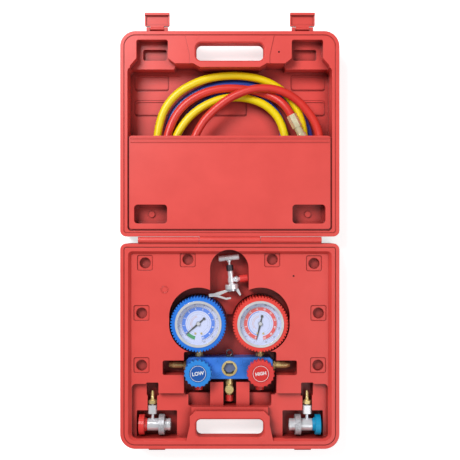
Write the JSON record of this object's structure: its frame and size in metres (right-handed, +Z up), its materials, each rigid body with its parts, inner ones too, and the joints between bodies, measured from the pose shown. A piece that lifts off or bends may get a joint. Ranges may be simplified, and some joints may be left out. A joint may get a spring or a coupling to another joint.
{
  "type": "refrigerant manifold gauge set in carrying case",
  "caption": "Two-valve refrigerant manifold with dial gauges, charging hoses, quick couplers and a can tap, laid out in an open hinged carrying case.",
  "frame": {"origin": "middle of the underside of the open case", "axes": "+X along the case's hinge, +Y from the hinge over the lid, +Z up"},
  "size_m": [0.318, 0.6366, 0.0526],
  "materials": {
    "case_red": "fine grained moulding",
    "steel_pin": "bright",
    "hose_yellow": "smooth",
    "hose_blue": "smooth",
    "hose_red": "smooth",
    "brass": "turned",
    "anodised_blue": "satin anodised",
    "chrome": "polished",
    "glass_clear": "clear",
    "glass_grey": "frosted",
    "dial_pale": "printed",
    "needle_black": "matt",
    "boot_blue": "matt",
    "boot_red": "matt",
    "knob_blue": "moulded",
    "knob_red": "moulded",
    "disc_blue": "printed",
    "disc_red": "printed",
    "knob_cyan": "moulded",
    "steel_dark": "knurled",
    "sleeve_grey": "knurled"
  },
  "bodies": {
    "case_base": {"case_base": "case_red", "hinge_pin": "steel_pin"},
    "case_lid": {"case_lid": "case_red", "latch_pins": "steel_pin", "hose_pocket_panel": "case_red", "yellow_hose": "hose_yellow", "blue_hose": "hose_blue", "red_hose": "hose_red", "yellow_hose_fittings": "brass", "blue_hose_fittings": "brass", "red_hose_fittings": "brass"},
    "latch_left": {"latch_left": "case_red"},
    "latch_right": {"latch_right": "case_red"},
    "manifold": {"manifold_block": "anodised_blue", "sight_glass_ring": "brass", "sight_glass_lens": "glass_grey", "hanging_hook": "steel_pin", "parking_fittings": "brass", "port_fittings": "brass", "charge_port": "brass", "charge_valve_cap": "brass", "port_caps": "knob_red", "valve_bonnets": "brass", "gauge_stems": "brass", "gauge_movements": "steel_pin", "low_gauge_case": "chrome", "low_gauge_boot": "boot_blue", "low_gauge_dial": "dial_pale", "low_gauge_lens": "glass_clear", "high_gauge_case": "chrome", "high_gauge_boot": "boot_red", "high_gauge_dial": "dial_pale", "high_gauge_lens": "glass_clear"},
    "can_tap": {"tap_body": "chrome", "tap_gland_nut": "steel_dark", "tap_side_cap": "knob_red", "tap_saddle": "chrome", "tap_clamp_arm": "chrome"},
    "tap_needle": {"piercing_needle": "chrome"},
    "tap_handle": {"tap_handle": "chrome"},
    "clamp_lever": {"tap_clamp_lever": "chrome"},
    "low_needle": {"low_needle": "needle_black"},
    "low_piston": {"low_valve_piston": "brass"},
    "low_knob": {"low_valve_knob": "knob_blue", "low_knob_disc": "disc_blue"},
    "low_coupler": {"low_coupler_body": "chrome", "low_coupler_barb": "brass"},
    "low_coupler_knob": {"low_coupler_knob": "knob_cyan"},
    "low_coupler_sleeve": {"low_coupler_sleeve": "sleeve_grey"},
    "low_depressor": {"low_coupler_depressor": "brass"},
    "high_needle": {"high_needle": "needle_black"},
    "high_piston": {"high_valve_piston": "brass"},
    "high_knob": {"high_valve_knob": "knob_red", "high_knob_disc": "disc_red"},
    "high_coupler": {"high_coupler_body": "chrome", "high_coupler_barb": "brass"},
    "high_coupler_knob": {"high_coupler_knob": "knob_red"},
    "high_coupler_sleeve": {"high_coupler_sleeve": "sleeve_grey"},
    "high_depressor": {"high_coupler_depressor": "brass"}
  },
  "joints": [
    {"name": "lid_hinge", "type": "hinge", "parent": "case_base", "child": "case_lid", "pos_m": [0, -0.0127, 0.048], "axis": [-1, 0, 0], "range_deg": [-180, 0]},
    {"name": "latch_left_hinge", "type": "hinge", "parent": "case_lid", "child": "latch_left", "pos_m": [-0.106, 0.2953, 0.03885], "axis": [-1, 0, 0], "range_deg": [-90, 0]},
    {"name": "latch_right_hinge", "type": "hinge", "parent": "case_lid", "child": "latch_right", "pos_m": [0.106, 0.2953, 0.03885], "axis": [-1, 0, 0], "range_deg": [-90, 0]},
    {"name": "manifold_lift", "type": "slide", "parent": "case_base", "child": "manifold", "axis": [0, 0, 1], "range_m": [0, 0.08]},
    {"name": "low_needle_sweep", "type": "hinge", "parent": "manifold", "child": "low_needle", "pos_m": [-0.0461, -0.1357, 0.034], "axis": [0, 0, -1], "range_deg": [0, 270]},
    {"name": "low_valve_travel", "type": "slide", "parent": "manifold", "child": "low_piston", "axis": [0, 0, 1], "range_m": [0, 0.0025]},
    {"name": "low_valve_turn", "type": "hinge", "parent": "low_piston", "child": "low_knob", "pos_m": [-0.0461, -0.2062, 0.04], "axis": [0, 0, 1], "range_deg": [0, 720]},
    {"name": "high_needle_sweep", "type": "hinge", "parent": "manifold", "child": "high_needle", "pos_m": [0.0449, -0.1357, 0.034], "axis": [0, 0, -1], "range_deg": [0, 270]},
    {"name": "high_valve_travel", "type": "slide", "parent": "manifold", "child": "high_piston", "axis": [0, 0, 1], "range_m": [0, 0.0025]},
    {"name": "high_valve_turn", "type": "hinge", "parent": "high_piston", "child": "high_knob", "pos_m": [0.0449, -0.2062, 0.04], "axis": [0, 0, 1], "range_deg": [0, 720]},
    {"name": "tap_lift", "type": "slide", "parent": "case_base", "child": "can_tap", "axis": [0, 0, 1], "range_m": [0, 0.06]},
    {"name": "tap_needle_travel", "type": "slide", "parent": "can_tap", "child": "tap_needle", "axis": [0.1045, -0.9945, 0], "range_m": [0, 0.0041]},
    {"name": "tap_handle_turn", "type": "hinge", "parent": "tap_needle", "child": "tap_handle", "pos_m": [-0.0015, -0.0392, 0.026], "axis": [0.1045, -0.9945, 0], "range_deg": [0, 1440]},
    {"name": "clamp_lever_hinge", "type": "hinge", "parent": "can_tap", "child": "clamp_lever", "pos_m": [-0.01988, -0.09392, 0.026], "axis": [0, 0, -1], "range_deg": [0, 40]},
    {"name": "high_coupler_lift", "type": "slide", "parent": "case_base", "child": "high_coupler", "axis": [0, 0, 1], "range_m": [0, 0.06]},
    {"name": "high_coupler_turn", "type": "hinge", "parent": "high_coupler", "child": "high_coupler_knob", "pos_m": [-0.1138, -0.285, 0.028], "axis": [1, 0, 0], "range_deg": [0, 720]},
    {"name": "high_depressor_travel", "type": "slide", "parent": "high_coupler", "child": "high_depressor", "axis": [1, 0, 0], "range_m": [0, 0.0031]},
    {"name": "high_sleeve_slide", "type": "slide", "parent": "high_coupler", "child": "high_coupler_sleeve", "axis": [-1, 0, 0], "range_m": [0, 0.003], "stiffness_N_per_m": 600},
    {"name": "low_coupler_lift", "type": "slide", "parent": "case_base", "child": "low_coupler", "axis": [0, 0, 1], "range_m": [0, 0.06]},
    {"name": "low_coupler_turn", "type": "hinge", "parent": "low_coupler", "child": "low_coupler_knob", "pos_m": [0.1138, -0.285, 0.028], "axis": [-1, 0, 0], "range_deg": [0, 720]},
    {"name": "low_depressor_travel", "type": "slide", "parent": "low_coupler", "child": "low_depressor", "axis": [-1, 0, 0], "range_m": [0, 0.0031]},
    {"name": "low_sleeve_slide", "type": "slide", "parent": "low_coupler", "child": "low_coupler_sleeve", "axis": [1, 0, 0], "range_m": [0, 0.003], "stiffness_N_per_m": 600}
  ],
  "couplings": [
    {"joint": "low_valve_travel", "follows": "low_valve_turn", "m_per_rad": 0.00019894},
    {"joint": "high_valve_travel", "follows": "high_valve_turn", "m_per_rad": 0.00019894},
    {"joint": "tap_needle_travel", "follows": "tap_handle_turn", "m_per_rad": 0.00015915},
    {"joint": "high_depressor_travel", "follows": "high_coupler_turn", "m_per_rad": 0.00023873},
    {"joint": "low_depressor_travel", "follows": "low_coupler_turn", "m_per_rad": 0.00023873}
  ]
}
